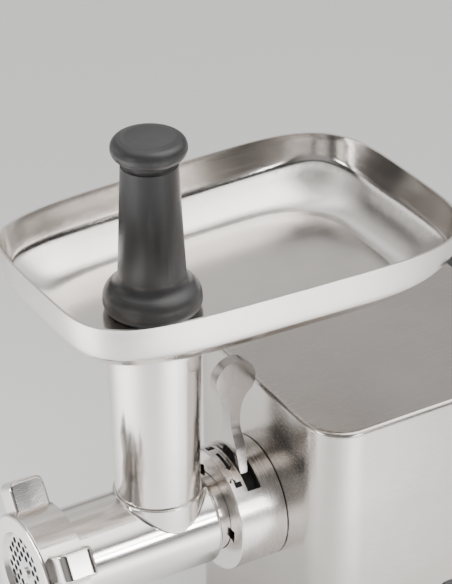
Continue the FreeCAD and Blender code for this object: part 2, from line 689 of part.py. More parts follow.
def rubber_feet():
    feet = []
    for x, y in foot_places():
        foot = Part.makeCone(FOOT_R - 2, FOOT_R, FOOT_HEIGHT, Vector(x, y, 0), Z_AXIS)
        foot = fillet_where(foot, 1.5, lambda e: e.CenterOfMass.z < 0.01 and e.Length > 10)
        recess = rod_z(5.0, -1, 5.0, x, y)
        feet.append(foot.cut([recess, rod_z(2.1, 4, FOOT_HEIGHT + 1, x, y)]))
    return group(feet)


def foot_screws():
    return group([
        pan_head_screw(2.0, 4.0, 2.4, 12.0, Vector(x, y, 5.0), Z_AXIS) for x, y in foot_places()
    ])


# ---------------------------------------------------------------- gearbox
# directions of the three centre lines, counted from +X towards +Z
TO_MIDDLE = math.radians(-60)
TO_FIRST = math.radians(190)

# shaft centres as (x, z); the rotor lies straight under the output shaft
OUTPUT_REACH = OUTPUT_MODULE * (OUTPUT_TEETH + OUTPUT_PINION_TEETH) / 2
MIDDLE_REACH = MIDDLE_MODULE * (MIDDLE_TEETH + MIDDLE_PINION_TEETH) / 2
FIRST_REACH = FIRST_MODULE * (FIRST_TEETH + ROTOR_PINION_TEETH) / 2
LOW = (OUTPUT_REACH * math.cos(TO_MIDDLE), AXIS_Z + OUTPUT_REACH * math.sin(TO_MIDDLE))
HIGH = (LOW[0] + MIDDLE_REACH * math.cos(TO_FIRST), LOW[1] + MIDDLE_REACH * math.sin(TO_FIRST))
TO_ROTOR = -math.acos(-HIGH[0] / FIRST_REACH)
ROTOR = (0.0, HIGH[1] + FIRST_REACH * math.sin(TO_ROTOR))
ROTOR_Z = ROTOR[1]


def involute(angle):
    return math.tan(angle) - angle


def gear_wheel(teeth, module, y_span, centre, tooth_at):
    """Spur gear about an axis along Y, with one tooth centred on the direction tooth_at."""
    pitch_r = module * teeth / 2
    base_r = pitch_r * math.cos(PRESSURE)
    tip_r = pitch_r + ADDENDUM * module
    root_r = pitch_r - DEDENDUM * module
    start_r = max(base_r, root_r) + 0.001
    half_at_pitch = math.pi / (2 * teeth) - BACKLASH / (4 * pitch_r)

    def half_angle(radius):
        return half_at_pitch + involute(PRESSURE) - involute(math.acos(base_r / radius))

    def point(radius, angle):
        return polar(radius, angle, y_span[0], centre[0], centre[1])

    radii = [start_r + (tip_r - start_r) * i / 3 for i in range(4)]
    edges = []
    for i in range(teeth):
        middle = tooth_at + 2 * math.pi * i / teeth
        following = middle + 2 * math.pi / teeth
        rising = Part.BSplineCurve()
        rising.interpolate(Points=[point(r, middle - half_angle(r)) for r in radii])
        falling = Part.BSplineCurve()
        falling.interpolate(Points=[point(r, middle + half_angle(r)) for r in reversed(radii)])
        foot_half = half_angle(start_r)
        if start_r > root_r + 0.01:
            edges.append(Part.makeLine(point(root_r, middle - foot_half), point(start_r, middle - foot_half)))
        edges.append(rising.toShape())
        tip_half = half_angle(tip_r)
        edges.append(Part.Arc(
            point(tip_r, middle - tip_half), point(tip_r, middle), point(tip_r, middle + tip_half),
        ).toShape())
        edges.append(falling.toShape())
        if start_r > root_r + 0.01:
            edges.append(Part.makeLine(point(start_r, middle + foot_half), point(root_r, middle + foot_half)))
        low_r = root_r if start_r > root_r + 0.01 else start_r
        edges.append(Part.Arc(
            point(low_r, middle + foot_half), point(low_r, (middle + following) / 2),
            point(low_r, following - foot_half),
        ).toShape())
    return Part.Face(Part.Wire(edges)).extrude(Vector(0, y_span[1] - y_span[0], 0))


def output_gear():
    wheel = gear_wheel(OUTPUT_TEETH, OUTPUT_MODULE, OUTPUT_LAYER, (0.0, AXIS_Z), TO_MIDDLE)
    lightening = [
        rod_y(5.5, OUTPUT_LAYER[0] - 1, OUTPUT_LAYER[1] + 1,
              20.5 * math.cos(a), AXIS_Z + 20.5 * math.sin(a))
        for a in (math.radians(60 * i) for i in range(6))
    ]
    return wheel.cut(lightening + [rod_y(10.0, OUTPUT_LAYER[0] - 1, OUTPUT_LAYER[1] + 1)])


def output_shaft():
    """Shaft with the hexagon socket that drives the auger."""
    socket = rod_y(13.0, THROAT_Y + 52.0, OUTPUT_LAYER[0] - 2.0)
    seat = rod_y(10.0, OUTPUT_LAYER[0] - 3.0, OUTPUT_LAYER[1])
    journal = rod_y(6.5, OUTPUT_LAYER[1] - 1, FIRST_LAYER[1] + 6)
    shaft = socket.fuse([seat, journal])
    return shaft.cut(hexagon_rod(SHANK_FLATS + 0.1, THROAT_Y + 50, THROAT_Y + 72))


def bearing_y(outer, inner, y_from, y_to, x, z):
    """Ball bearing drawn as two rings with a shallow groove between them on both faces."""
    ring = tube_y(outer, inner, y_from, y_to, x, z)
    middle = (outer + inner) / 2
    band = (outer - inner) * 0.22
    grooves = [
        tube_y(middle + band, middle - band, y_from - 1, y_from + 0.8, x, z),
        tube_y(middle + band, middle - band, y_to - 0.8, y_to + 1, x, z),
    ]
    return ring.cut(grooves)


def output_bearing():
    return bearing_y(21.0, 13.06, THROAT_Y + 70.0, THROAT_Y + 80.0, 0.0, AXIS_Z)


def layshaft(centre):
    return rod_y(LAYSHAFT_R, -17.5, FIRST_LAYER[1] + 6, *centre)


def cluster_low():
    """Pinion and wheel on the shaft next to the output gear."""
    pinion_span = (OUTPUT_LAYER[0] - 0.5, MIDDLE_LAYER[0])
    pinion = gear_wheel(OUTPUT_PINION_TEETH, OUTPUT_MODULE, pinion_span, LOW,
                        TO_MIDDLE + math.pi + math.pi / OUTPUT_PINION_TEETH)
    wheel = gear_wheel(MIDDLE_TEETH, MIDDLE_MODULE, MIDDLE_LAYER, LOW, TO_FIRST)
    return pinion.fuse(wheel).cut(rod_y(LAYSHAFT_R, -30, 30, *LOW))


def cluster_high():
    """Pinion and wheel on the shaft driven by the motor."""
    pinion = gear_wheel(MIDDLE_PINION_TEETH, MIDDLE_MODULE, (MIDDLE_LAYER[0], FIRST_LAYER[0]), HIGH,
                        TO_FIRST + math.pi + math.pi / MIDDLE_PINION_TEETH)
    wheel = gear_wheel(FIRST_TEETH, FIRST_MODULE, FIRST_LAYER, HIGH, TO_ROTOR)
    return pinion.fuse(wheel).cut(rod_y(LAYSHAFT_R, -30, 30, *HIGH))


def gearbox_housing():
    """Cast pot that carries the gears and whose neck reaches into the collar."""
    front = HOUSING_FRONT + SHEET + 2.0
    body = rounded_slab(GEARBOX_X, GEARBOX_Z, (front, FIRST_LAYER[1] + 2), 14.0)
    pocket = rounded_slab(
        (GEARBOX_X[0] + 4, GEARBOX_X[1] - 4), (GEARBOX_Z[0] + 4, GEARBOX_Z[1] - 4),
        (front + 4, FIRST_LAYER[1] + 3), 10.0,
    )
    pillars = [rod_y(6.0, front, FIRST_LAYER[1] + 2, x, z) for x, z in GEARBOX_SCREWS]
    neck = rod_y(35.0, THROAT_Y + 69.5, front + 1)
    body = body.cut(pocket).fuse(pillars + [neck])
    cuts = [rod_y(21.0, THROAT_Y + 70.0, THROAT_Y + 80.0), rod_y(15.5, THROAT_Y + 60, 0)]
    cuts += [rod_y(LAYSHAFT_R + 0.05, front + 1, 0, *centre) for centre in (LOW, HIGH)]
    cuts += [rod_y(1.6, 5, 40, x, z) for x, z in GEARBOX_SCREWS]
    head_room = collar_screw_rods(3.4, HOUSING_FRONT, front + 0.5)
    return body.cut(cuts + head_room)


def gearbox_cover():
    """Rear half of the gearbox, with the motor's front bearing seat."""
    front = FIRST_LAYER[1] + 2
    cover = rounded_slab(GEARBOX_X, (34.0, GEARBOX_Z[1]), (front, front + 6), 14.0)
    bosses = [
        rod_y(9.0, FIRST_LAYER[0] - 1, front + 6),
        rod_y(8.5, front, front + 9, *LOW), rod_y(8.5, front, front + 9, *HIGH),
        rod_y(16.0, front, front + 12, *ROTOR),
    ]
    cuts = [rod_y(6.55, FIRST_LAYER[0] - 2, FIRST_LAYER[1] + 6.5)]
    cuts += [rod_y(LAYSHAFT_R + 0.05, front - 1, FIRST_LAYER[1] + 6.5, *centre) for centre in (LOW, HIGH)]
    cuts += [rod_y(11.0, front + 3, front + 20, *ROTOR), rod_y(7.0, front - 1, front + 20, *ROTOR)]
    cuts += [rod_y(1.7, 5, 40, x, z) for x, z in GEARBOX_SCREWS]
    cuts += [rod_y(1.8, 5, 40, x, ROTOR_Z) for x in (-34.0, 34.0)]
    return cover.fuse(bosses).cut(cuts)


def gearbox_screws():
    seat_y = FIRST_LAYER[1] + 8
    return group([
        pan_head_screw(1.55, 3.2, 2.2, 18.0, Vector(x, seat_y, z), Vector(0, -1, 0))
        for x, z in GEARBOX_SCREWS
    ])


# ---------------------------------------------------------------- motor
def rotor_shaft():
    """Rotor shaft with its pinion cut on the front end."""
    pinion = gear_wheel(ROTOR_PINION_TEETH, FIRST_MODULE, (FIRST_LAYER[0], FIRST_LAYER[1] + 1), ROTOR,
                        TO_ROTOR + math.pi + math.pi / ROTOR_PINION_TEETH)
    shaft = rod_y(ROTOR_SHAFT_R, FIRST_LAYER[1], 158.0, *ROTOR)
    return pinion.fuse(shaft)


def rotor_core():
    """Laminated core with winding slots."""
    z = ROTOR_Z
    core = rod_y(ROTOR_R, STATOR_FRONT, STATOR_REAR, 0.0, z)
    slots = []
    for i in range(12):
        slot = block((-1.2, 1.2), (STATOR_FRONT - 1, STATOR_REAR + 1), (z + 13, z + ROTOR_R + 1))
        slot.rotate(Vector(0, 0, z), Y_AXIS, 30 * i)
        slots.append(slot)
    return core.cut(slots + [rod_y(ROTOR_SHAFT_R, STATOR_FRONT - 1, STATOR_REAR + 1, 0.0, z)])


def ring_coil(outer, inner, y_from, y_to, x, z):
    coil = tube_y(outer, inner, y_from, y_to, x, z)
    return fillet_where(coil, 2.5, lambda e: e.Length > 2 * math.pi * outer - 1)


def rotor_windings():
    z = ROTOR_Z
    return group([
        ring_coil(20.5, ROTOR_SHAFT_R + 0.5, STATOR_FRONT - 9, STATOR_FRONT, 0.0, z),
        ring_coil(20.5, ROTOR_SHAFT_R + 0.5, STATOR_REAR, STATOR_REAR + 9, 0.0, z),
    ])


def commutator():
    z = ROTOR_Z
    body = tube_y(13.0, ROTOR_SHAFT_R, 128.0, 143.0, 0.0, z)
    gaps = []
    for i in range(24):
        gap = block((-0.25, 0.25), (129.5, 144.0), (z + 11.5, z + 14))
        gap.rotate(Vector(0, 0, z), Y_AXIS, 15 * i)
        gaps.append(gap)
    return body.cut(gaps)


def cooling_fan():
    z = ROTOR_Z
    hub = rod_y(9.0, 38.0, 54.0, 0.0, z)
    plate = rod_y(FAN_R, 38.0, 39.6, 0.0, z)
    vanes = []
    for i in range(11):
        vane = block((-0.8, 0.8), (39.0, 54.0), (z + 8, z + 35))
        vane.rotate(Vector(0, 0, z + 8), Y_AXIS, 24)
        vane = vane.common(rod_y(FAN_R, 38.0, 54.0, 0.0, z))
        vane.rotate(Vector(0, 0, z), Y_AXIS, 360.0 / 11 * i)
        vanes.append(vane)
    return hub.fuse([plate] + vanes).cut(rod_y(ROTOR_SHAFT_R, 30.0, 60.0, 0.0, z))


def rotor_bearings():
    z = ROTOR_Z
    return group([
        bearing_y(11.0, ROTOR_SHAFT_R + 0.04, 24.5, 31.5, 0.0, z),
        bearing_y(11.0, ROTOR_SHAFT_R + 0.04, 149.0, 156.0, 0.0, z),
    ])


def stator_core():
    """Field laminations with two poles."""
    z = ROTOR_Z
    core = rod_y(STATOR_R, STATOR_FRONT, STATOR_REAR, 0.0, z)
    core = core.common(block((-38, 38), (STATOR_FRONT, STATOR_REAR), (z - 42, z + 42)))
    windows = []
    for side in (0, 180):
        window = sector_about(z, 34.0, STATOR_BORE_R - 1, STATOR_FRONT - 1, STATOR_REAR + 1,
                              side - 38, side + 38)
        windows.append(window)
    bolt_holes = [rod_y(2.1, STATOR_FRONT - 1, STATOR_REAR + 1, x, z) for x in (-34.0, 34.0)]
    return core.cut([rod_y(STATOR_BORE_R, STATOR_FRONT - 1, STATOR_REAR + 1, 0.0, z)] + windows + bolt_holes)


def sector_about(z, outer, inner, y_from, y_to, from_deg, to_deg):
    """Part of a ring about the motor axis, between two angles from straight up."""
    profile = Part.makePolygon([
        Vector(0, y_from, z + inner), Vector(0, y_from, z + outer),
        Vector(0, y_to, z + outer), Vector(0, y_to, z + inner), Vector(0, y_from, z + inner),
    ])
    ring = Part.Face(profile).revolve(Vector(0, 0, z), Y_AXIS, to_deg - from_deg)
    ring.rotate(Vector(0, 0, z), Y_AXIS, from_deg)
    return ring


def stator_coils():
    """Two field coils in the stator's windows, standing out at both ends."""
    z = ROTOR_Z
    return group([
        sector_about(z, 33.2, STATOR_BORE_R + 0.6, STATOR_FRONT - 9, STATOR_REAR + 9, side - 35, side + 35)
        for side in (0, 180)
    ])


def motor_bracket():
    """Rear bearing bridge of the motor, with two pillars to the stator."""
    z = ROTOR_Z
    bridge = block((-40, 40), (147.0, 152.0), (z - 12, z + 12))
    bridge = bridge.fuse([
        rod_y(14.5, 147.0, 158.5, 0.0, z),
        rod_y(5.0, STATOR_REAR, 148.0, -34.0, z), rod_y(5.0, STATOR_REAR, 148.0, 34.0, z),
    ])
    cuts = [rod_y(11.0, 149.0, 156.0, 0.0, z), rod_y(6.0, 140.0, 170.0, 0.0, z)]
    cuts += [rod_y(2.1, STATOR_REAR - 1, 160.0, x, z) for x in (-34.0, 34.0)]
    return bridge.cut(cuts)


def motor_bolts():
    z = ROTOR_Z
    return group([
        pan_head_screw(1.75, 4.0, 3.0, 126.0, Vector(x, 152.0, z), Vector(0, -1, 0)) for x in (-34.0, 34.0)
    ])


def motor_spacers():
    z = ROTOR_Z
    return group([
        tube_y(5.0, 2.1, FIRST_LAYER[1] + 8, STATOR_FRONT, x, z) for x in (-34.0, 34.0)
    ])


def brush_holders():
    z = ROTOR_Z
    holders = []
    for side in (-1, 1):
        span = sorted((side * 14.5, side * 28.5))
        channel = sorted((side * 13.0, side * 27.0))
        body = block(span, (130.0, 142.0), (z - 6, z + 6))
        foot = block(sorted((side * 21.0, side * 28.5)), (142.0, 147.0), (z - 5, z + 5))
        holders.append(body.fuse(foot).cut(block(channel, (132.4, 139.6), (z - 3.6, z + 3.6))))
    return group(holders)


def carbon_brushes():
    z = ROTOR_Z
    brushes = []
    for side in (-1, 1):
        brush = block(sorted((side * 12.0, side * 25.0)), (132.5, 139.5), (z - 3.5, z + 3.5))
        brushes.append(brush.cut(rod_y(13.05, 130.0, 142.0, 0.0, z)))
    return group(brushes)


def motor_cradle():
    """Bent sheet cradle that stands the stator on the base plate."""
    z = ROTOR_Z
    y_span = (80.0, 102.0)
    saddle = block((-44, 44), y_span, (z - 46, z - 20))
    saddle = saddle.cut(rod_y(STATOR_R + 0.05, y_span[0] - 1, y_span[1] + 1, 0.0, z))
    saddle = saddle.cut(block((-38.0, 38.0), (y_span[0] - 1, y_span[1] + 1), (z - 42, z)))
    legs = [block(sorted((side * 44, side * 38.05)), y_span, (15.0, z - 30)) for side in (-1, 1)]
    flanges = [block(sorted((side * 58, side * 42)), y_span, (15.0, 17.5)) for side in (-1, 1)]
    return union([saddle] + legs + flanges)


# ---------------------------------------------------------------- controls
def switch_bezel():
    """Frame round the two rockers, standing 1 mm proud of the housing's side."""
    span = ROCKER_PITCH * 1.5 + 14.0
    rim = block((HOUSING_HALF_WIDTH, HOUSING_HALF_WIDTH + 1.2),
                (SWITCH_Y - span / 2, SWITCH_Y + span / 2), (SWITCH_Z - 21, SWITCH_Z + 21))
    rim = fillet_where(rim, 4.0, lambda e: is_along(e, X_AXIS))
    rim = fillet_where(rim, 0.6, lambda e: e.CenterOfMass.x > HOUSING_HALF_WIDTH + 1.1)
    box_span = ROCKER_PITCH * 1.5 + 6.6
    box = block((66.0, HOUSING_HALF_WIDTH), (SWITCH_Y - box_span / 2, SWITCH_Y + box_span / 2),
                (SWITCH_Z - 17.3, SWITCH_Z + 17.3))
    windows = []
    for y in rocker_places():
        windows.append(block((67.5, 96.0), (y - ROCKER_WIDTH / 2 - 0.4, y + ROCKER_WIDTH / 2 + 0.4),
                             (SWITCH_Z - ROCKER_R - 0.5, SWITCH_Z + ROCKER_R + 0.5)))
    return rim.fuse(box).cut(windows + [rocker_pin()])


def rocker_places():
    return (SWITCH_Y - ROCKER_PITCH / 2, SWITCH_Y + ROCKER_PITCH / 2)


def rocker(y):
    """Rocker with a dished face, tilted so that its lower end is pressed."""
    def at(radius, degrees):
        a = math.radians(degrees)
        return Vector(ROCKER_PIVOT_X + radius * math.cos(a), y - ROCKER_WIDTH / 2,
                      SWITCH_Z + radius * math.sin(a))

    edges = path_edges(at(ROCKER_R, 48), [
        (Vector(ROCKER_PIVOT_X + 9.0, y - ROCKER_WIDTH / 2, SWITCH_Z), at(ROCKER_R, -48)),
        (at(ROCKER_R, -65), at(ROCKER_R, -82)),
        at(4.0, -120),
        at(4.0, 120),
        at(ROCKER_R, 82),
        (at(ROCKER_R, 65), at(ROCKER_R, 48)),
    ])
    solid = Part.Face(Part.Wire(edges)).extrude(Vector(0, ROCKER_WIDTH, 0))
    solid = fillet_where(
        solid, 0.7, lambda e: abs(abs(e.CenterOfMass.y - y) - ROCKER_WIDTH / 2) < 0.01
        and e.CenterOfMass.x > ROCKER_PIVOT_X + 3,
    )
    solid = solid.cut(rod_y(1.56, y - 10, y + 10, ROCKER_PIVOT_X, SWITCH_Z))
    solid.rotate(Vector(ROCKER_PIVOT_X, y, SWITCH_Z), Y_AXIS, ROCKER_REST_DEG)
    return solid


def rocker_pin():
    span = ROCKER_PITCH * 1.5 + 6.6
    return rod_y(1.5, SWITCH_Y - span / 2 - 0.5, SWITCH_Y + span / 2 + 0.5, ROCKER_PIVOT_X, SWITCH_Z)


def switch_block():
    """Contact block behind the rockers."""
    body = block((52.0, 65.9), (SWITCH_Y - 16, SWITCH_Y + 16), (SWITCH_Z - 15, SWITCH_Z + 15))
    tabs = [
        block((44.0, 52.0), (SWITCH_Y - 10 + i * 10 - 2.5, SWITCH_Y - 10 + i * 10 + 2.5),
              (SWITCH_Z + k * 8 - 0.4, SWITCH_Z + k * 8 + 0.4))
        for i in range(3) for k in (-1, 1)
    ]
    return body.fuse(tabs)


def control_board():
    """Board with a relay, a capacitor and a terminal block, standing on the base plate."""
    board = block((-66, -64.4), (60, 140), (24, 96))
    relay = block((-64.4, -49), (70, 90), (58, 88))
    capacitor = rod_x(9.0, -64.4, -46.0, 118.0, 72.0)
    terminals = block((-64.4, -54), (72, 128), (30, 42))
    feet = [block((-72, -60), (y, y + 8), (15, 24)) for y in (64, 128)]
    return union([board, relay, capacitor, terminals] + feet)


def overload_breaker():
    """Thermal overload cut-out behind the reset button."""
    body = block((RESET_X - 10, RESET_X + 10), (160, 190), (RESET_Z - 12, RESET_Z + 12))
    collar = rod_y(8.0, 190, COVER_REAR - 2.6, RESET_X, RESET_Z)
    bore = rod_y(5.2, 186, COVER_REAR, RESET_X, RESET_Z)
    return body.fuse(collar).cut(bore)


def reset_button():
    """Red button of the overload cut-out."""
    button = rod_y(4.8, 194, COVER_REAR + 3.2, RESET_X, RESET_Z)
    return fillet_where(button, 1.2, lambda e: e.CenterOfMass.y > COVER_REAR + 3)


def cord_gland():
    """Cord inlet in the rear cover: a flanged bush with a through hole."""
    flange = rod_y(13.0, COVER_REAR, COVER_REAR + 2.5, GLAND_X, GLAND_Z)
    snout = rod_y(9.0, COVER_REAR - 8, GLAND_REAR, GLAND_X, GLAND_Z)
    snout = fillet_where(snout, 1.5, lambda e: e.CenterOfMass.y > GLAND_REAR - 0.1)
    nut = rod_y(12.0, COVER_REAR - 6.6, COVER_REAR - 2.6, GLAND_X, GLAND_Z)
    return flange.fuse([snout, nut]).cut(rod_y(4.2, COVER_REAR - 20, GLAND_REAR + 1, GLAND_X, GLAND_Z))


# ---------------------------------------------------------------- all sub-parts
SUB_PARTS = {
    "grinder_head": grinder_head,
    "auger": auger,
    "auger_bush": auger_bush,
    "cutting_blade": cutting_blade,
    "grinding_plate": grinding_plate,
    "plate_key": plate_key,
    "ring_nut": ring_nut,
    "neck_collar": neck_collar,
    "collar_gasket": collar_gasket,
    "collar_screws": collar_screws,
    "locking_ring": locking_ring,
    "locking_lever": locking_lever,
    "lever_screw": lever_screw,
    "food_tray": food_tray,
    "tray_neck": tray_neck,
    "food_pusher": food_pusher,
    "pusher_knob": pusher_knob,
    "housing_shell": housing_shell,
    "rear_cover": rear_cover,
    "rear_cover_screws": rear_cover_screws,
    "rear_frame": rear_frame,
    "base_plate": base_plate,
    "rubber_feet": rubber_feet,
    "foot_screws": foot_screws,
    "output_gear": output_gear,
    "output_shaft": output_shaft,
    "output_bearing": output_bearing,
    "cluster_gear_low": cluster_low,
    "layshaft_low": lambda: layshaft(LOW),
    "cluster_gear_high": cluster_high,
    "layshaft_high": lambda: layshaft(HIGH),
    "gearbox_housing": gearbox_housing,
    "gearbox_cover": gearbox_cover,
    "gearbox_screws": gearbox_screws,
    "rotor_shaft": rotor_shaft,
    "rotor_core": rotor_core,
    "rotor_windings": rotor_windings,
    "commutator": commutator,
    "cooling_fan": cooling_fan,
    "rotor_bearings": rotor_bearings,
    "stator_core": stator_core,
    "stator_coils": stator_coils,
    "motor_bracket": motor_bracket,
    "motor_bolts": motor_bolts,
    "motor_spacers": motor_spacers,
    "brush_holders": brush_holders,
    "carbon_brushes": carbon_brushes,
    "motor_cradle": motor_cradle,
    "switch_bezel": switch_bezel,
    "switch_block": switch_block,
    "power_rocker": lambda: rocker(rocker_places()[0]),
    "reverse_rocker": lambda: rocker(rocker_places()[1]),
    "rocker_pin": rocker_pin,
    "control_board": control_board,
    "overload_breaker": overload_breaker,
    "reset_button": reset_button,
    "cord_gland": cord_gland,
}

os.makedirs("parts", exist_ok=True)
for part_name, make in SUB_PARTS.items():
    save(part_name, make())
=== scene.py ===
import json
import math

import bmesh
import bpy
from mathutils import Matrix, Vector


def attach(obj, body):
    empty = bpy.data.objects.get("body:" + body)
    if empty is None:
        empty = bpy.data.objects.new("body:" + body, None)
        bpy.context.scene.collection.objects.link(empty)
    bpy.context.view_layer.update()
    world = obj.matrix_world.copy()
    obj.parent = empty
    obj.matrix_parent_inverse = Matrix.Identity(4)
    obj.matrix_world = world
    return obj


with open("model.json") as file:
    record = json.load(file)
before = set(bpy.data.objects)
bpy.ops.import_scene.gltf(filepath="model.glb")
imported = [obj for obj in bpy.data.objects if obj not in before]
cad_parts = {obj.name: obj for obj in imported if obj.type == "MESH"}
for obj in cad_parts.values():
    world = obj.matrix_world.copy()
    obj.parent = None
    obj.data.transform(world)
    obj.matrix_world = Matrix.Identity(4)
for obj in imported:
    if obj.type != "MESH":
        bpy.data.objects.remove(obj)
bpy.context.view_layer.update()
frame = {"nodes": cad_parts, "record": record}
NODES = frame["nodes"]

# ---------------------------------------------------------------- camera
CAMERA_PLACE = Vector((1.27885, -0.79656, 1.18444))
CAMERA_AZIMUTH = math.radians(59.59)
CAMERA_ELEVATION = math.radians(30.33)
CAMERA_ROLL = math.radians(-0.55)
CAMERA_LENS = 157.97
SENSOR_WIDTH = 36.0


def make_camera():
    """Camera turned by the azimuth, tipped down by the elevation and rolled about its line of sight."""
    right = Vector((math.cos(CAMERA_AZIMUTH), math.sin(CAMERA_AZIMUTH), 0))
    forward = Vector((
        -math.sin(CAMERA_AZIMUTH) * math.cos(CAMERA_ELEVATION),
        math.cos(CAMERA_AZIMUTH) * math.cos(CAMERA_ELEVATION),
        -math.sin(CAMERA_ELEVATION),
    ))
    up = right.cross(forward)
    cosine = math.cos(CAMERA_ROLL)
    sine = math.sin(CAMERA_ROLL)
    x_axis = right * cosine + up * sine
    y_axis = up * cosine - right * sine
    data = bpy.data.cameras.new("camera")
    data.lens = CAMERA_LENS
    data.sensor_width = SENSOR_WIDTH
    camera = bpy.data.objects.new("camera", data)
    bpy.context.scene.collection.objects.link(camera)
    rotation = Matrix((x_axis, y_axis, -forward)).transposed()
    camera.matrix_world = Matrix.Translation(CAMERA_PLACE) @ rotation.to_4x4()
    bpy.context.scene.camera = camera


make_camera()


# ---------------------------------------------------------------- node helpers
NOISE_LOW = 0.3
NOISE_HIGH = 0.7


class Shader:
    """A material's node tree with short ways to add and join nodes."""

    def __init__(self, name):
        self.material = bpy.data.materials.new(name)
        self.material.use_nodes = True
        self.tree = self.material.node_tree
        self.bsdf = self.tree.nodes["Principled BSDF"]

    def add(self, kind, **settings):
        node = self.tree.nodes.new(kind)
        for key, value in settings.items():
            setattr(node, key, value)
        return node

    def join(self, out, into):
        self.tree.links.new(out, into)

    def place(self, scale):
        """Object coordinates stretched by scale."""
        coordinates = self.add("ShaderNodeTexCoord")
        mapping = self.add("ShaderNodeMapping")
        mapping.inputs["Scale"].default_value = scale
        self.join(coordinates.outputs["Object"], mapping.inputs["Vector"])
        return mapping.outputs["Vector"]

    def noise(self, scale, detail, roughness=0.6):
        """Noise on stretched object coordinates; scale is per metre along X, Y and Z."""
        texture = self.add("ShaderNodeTexNoise")
        texture.inputs["Scale"].default_value = 1.0
        texture.inputs["Detail"].default_value = detail
        texture.inputs["Roughness"].default_value = roughness
        self.join(self.place(scale), texture.inputs["Vector"])
        return texture.outputs["Fac"]

    def spread(self, value, low, high):
        """A noise value, which mostly lies between NOISE_LOW and NOISE_HIGH, remapped to low..high."""
        node = self.add("ShaderNodeMapRange")
        node.inputs["From Min"].default_value = NOISE_LOW
        node.inputs["From Max"].default_value = NOISE_HIGH
        node.inputs["To Min"].default_value = low
        node.inputs["To Max"].default_value = high
        self.join(value, node.inputs["Value"])
        return node.outputs["Result"]

    def blend(self, factor, first, second):
        """Colour between first and second by factor."""
        node = self.add("ShaderNodeMix", data_type="RGBA")
        node.inputs["A"].default_value = (*first, 1)
        node.inputs["B"].default_value = (*second, 1)
        self.join(factor, node.inputs["Factor"])
        return node.outputs["Result"]

    def paint(self, factor, first, second):
        """Base colour between first and second by factor."""
        self.join(self.blend(factor, first, second), self.bsdf.inputs["Base Color"])

    def gloss(self, value, low, high):
        """Roughness between low and high by value."""
        self.join(self.spread(value, low, high), self.bsdf.inputs["Roughness"])

    def bump(self, height, strength, distance):
        node = self.add("ShaderNodeBump")
        node.inputs["Strength"].default_value = strength
        node.inputs["Distance"].default_value = distance
        self.join(height, node.inputs["Height"])
        self.join(node.outputs["Normal"], self.bsdf.inputs["Normal"])

    def set(self, **values):
        for key, value in values.items():
            self.bsdf.inputs[key].default_value = value


# ---------------------------------------------------------------- metal and plastic
# Clouds are slow changes, as noise scale per metre. Tints are the darkest and lightest share of the colour,
# and gloss is the smoothest and roughest share of the roughness.
METAL_CLOUDS = (14, 14, 14)
METAL_TINTS = (0.93, 1.04)
METAL_GLOSS = (0.8, 1.25)
METAL_BUMP = 0.35
PLASTIC_CLOUDS = (20, 20, 20)
PLASTIC_TINTS = (0.88, 1.12)
PLASTIC_GLOSS = (0.9, 1.1)
PLASTIC_BUMP = 0.3
PLASTIC_DEPTH = 0.00005


def tinted(colour, factor):
    return tuple(min(1.0, channel * factor) for channel in colour)


def brushed_metal(name, colour, roughness, grain, anisotropy=0.0, depth=0.00004):
    """Brushed or turned metal: grain is the noise scale per metre along X, Y and Z."""
    shader = Shader(name)
    streaks = shader.noise(grain, detail=6.0, roughness=0.7)
    clouds = shader.noise(METAL_CLOUDS, detail=3.0)
    shader.paint(shader.spread(clouds, 0.0, 1.0), *(tinted(colour, tint) for tint in METAL_TINTS))
    shader.gloss(streaks, *(roughness * share for share in METAL_GLOSS))
    shader.bump(streaks, METAL_BUMP, depth)
    shader.set(Metallic=1.0, Anisotropic=anisotropy)
    if anisotropy:
        tangent = shader.add("ShaderNodeTangent", direction_type="RADIAL", axis="Z")
        shader.join(tangent.outputs["Tangent"], shader.bsdf.inputs["Tangent"])
    return shader.material


def moulded_plastic(name, colour, roughness, texture=1600.0):
    """Moulded plastic or rubber with a fine grained surface; texture is the grain's scale per metre."""
    shader = Shader(name)
    grain = shader.noise((texture, texture, texture), detail=2.0)
    clouds = shader.noise(PLASTIC_CLOUDS, detail=3.0)
    shader.paint(shader.spread(clouds, 0.0, 1.0), *(tinted(colour, tint) for tint in PLASTIC_TINTS))
    shader.gloss(clouds, *(roughness * share for share in PLASTIC_GLOSS))
    shader.bump(grain, PLASTIC_BUMP, PLASTIC_DEPTH)
    return shader.material


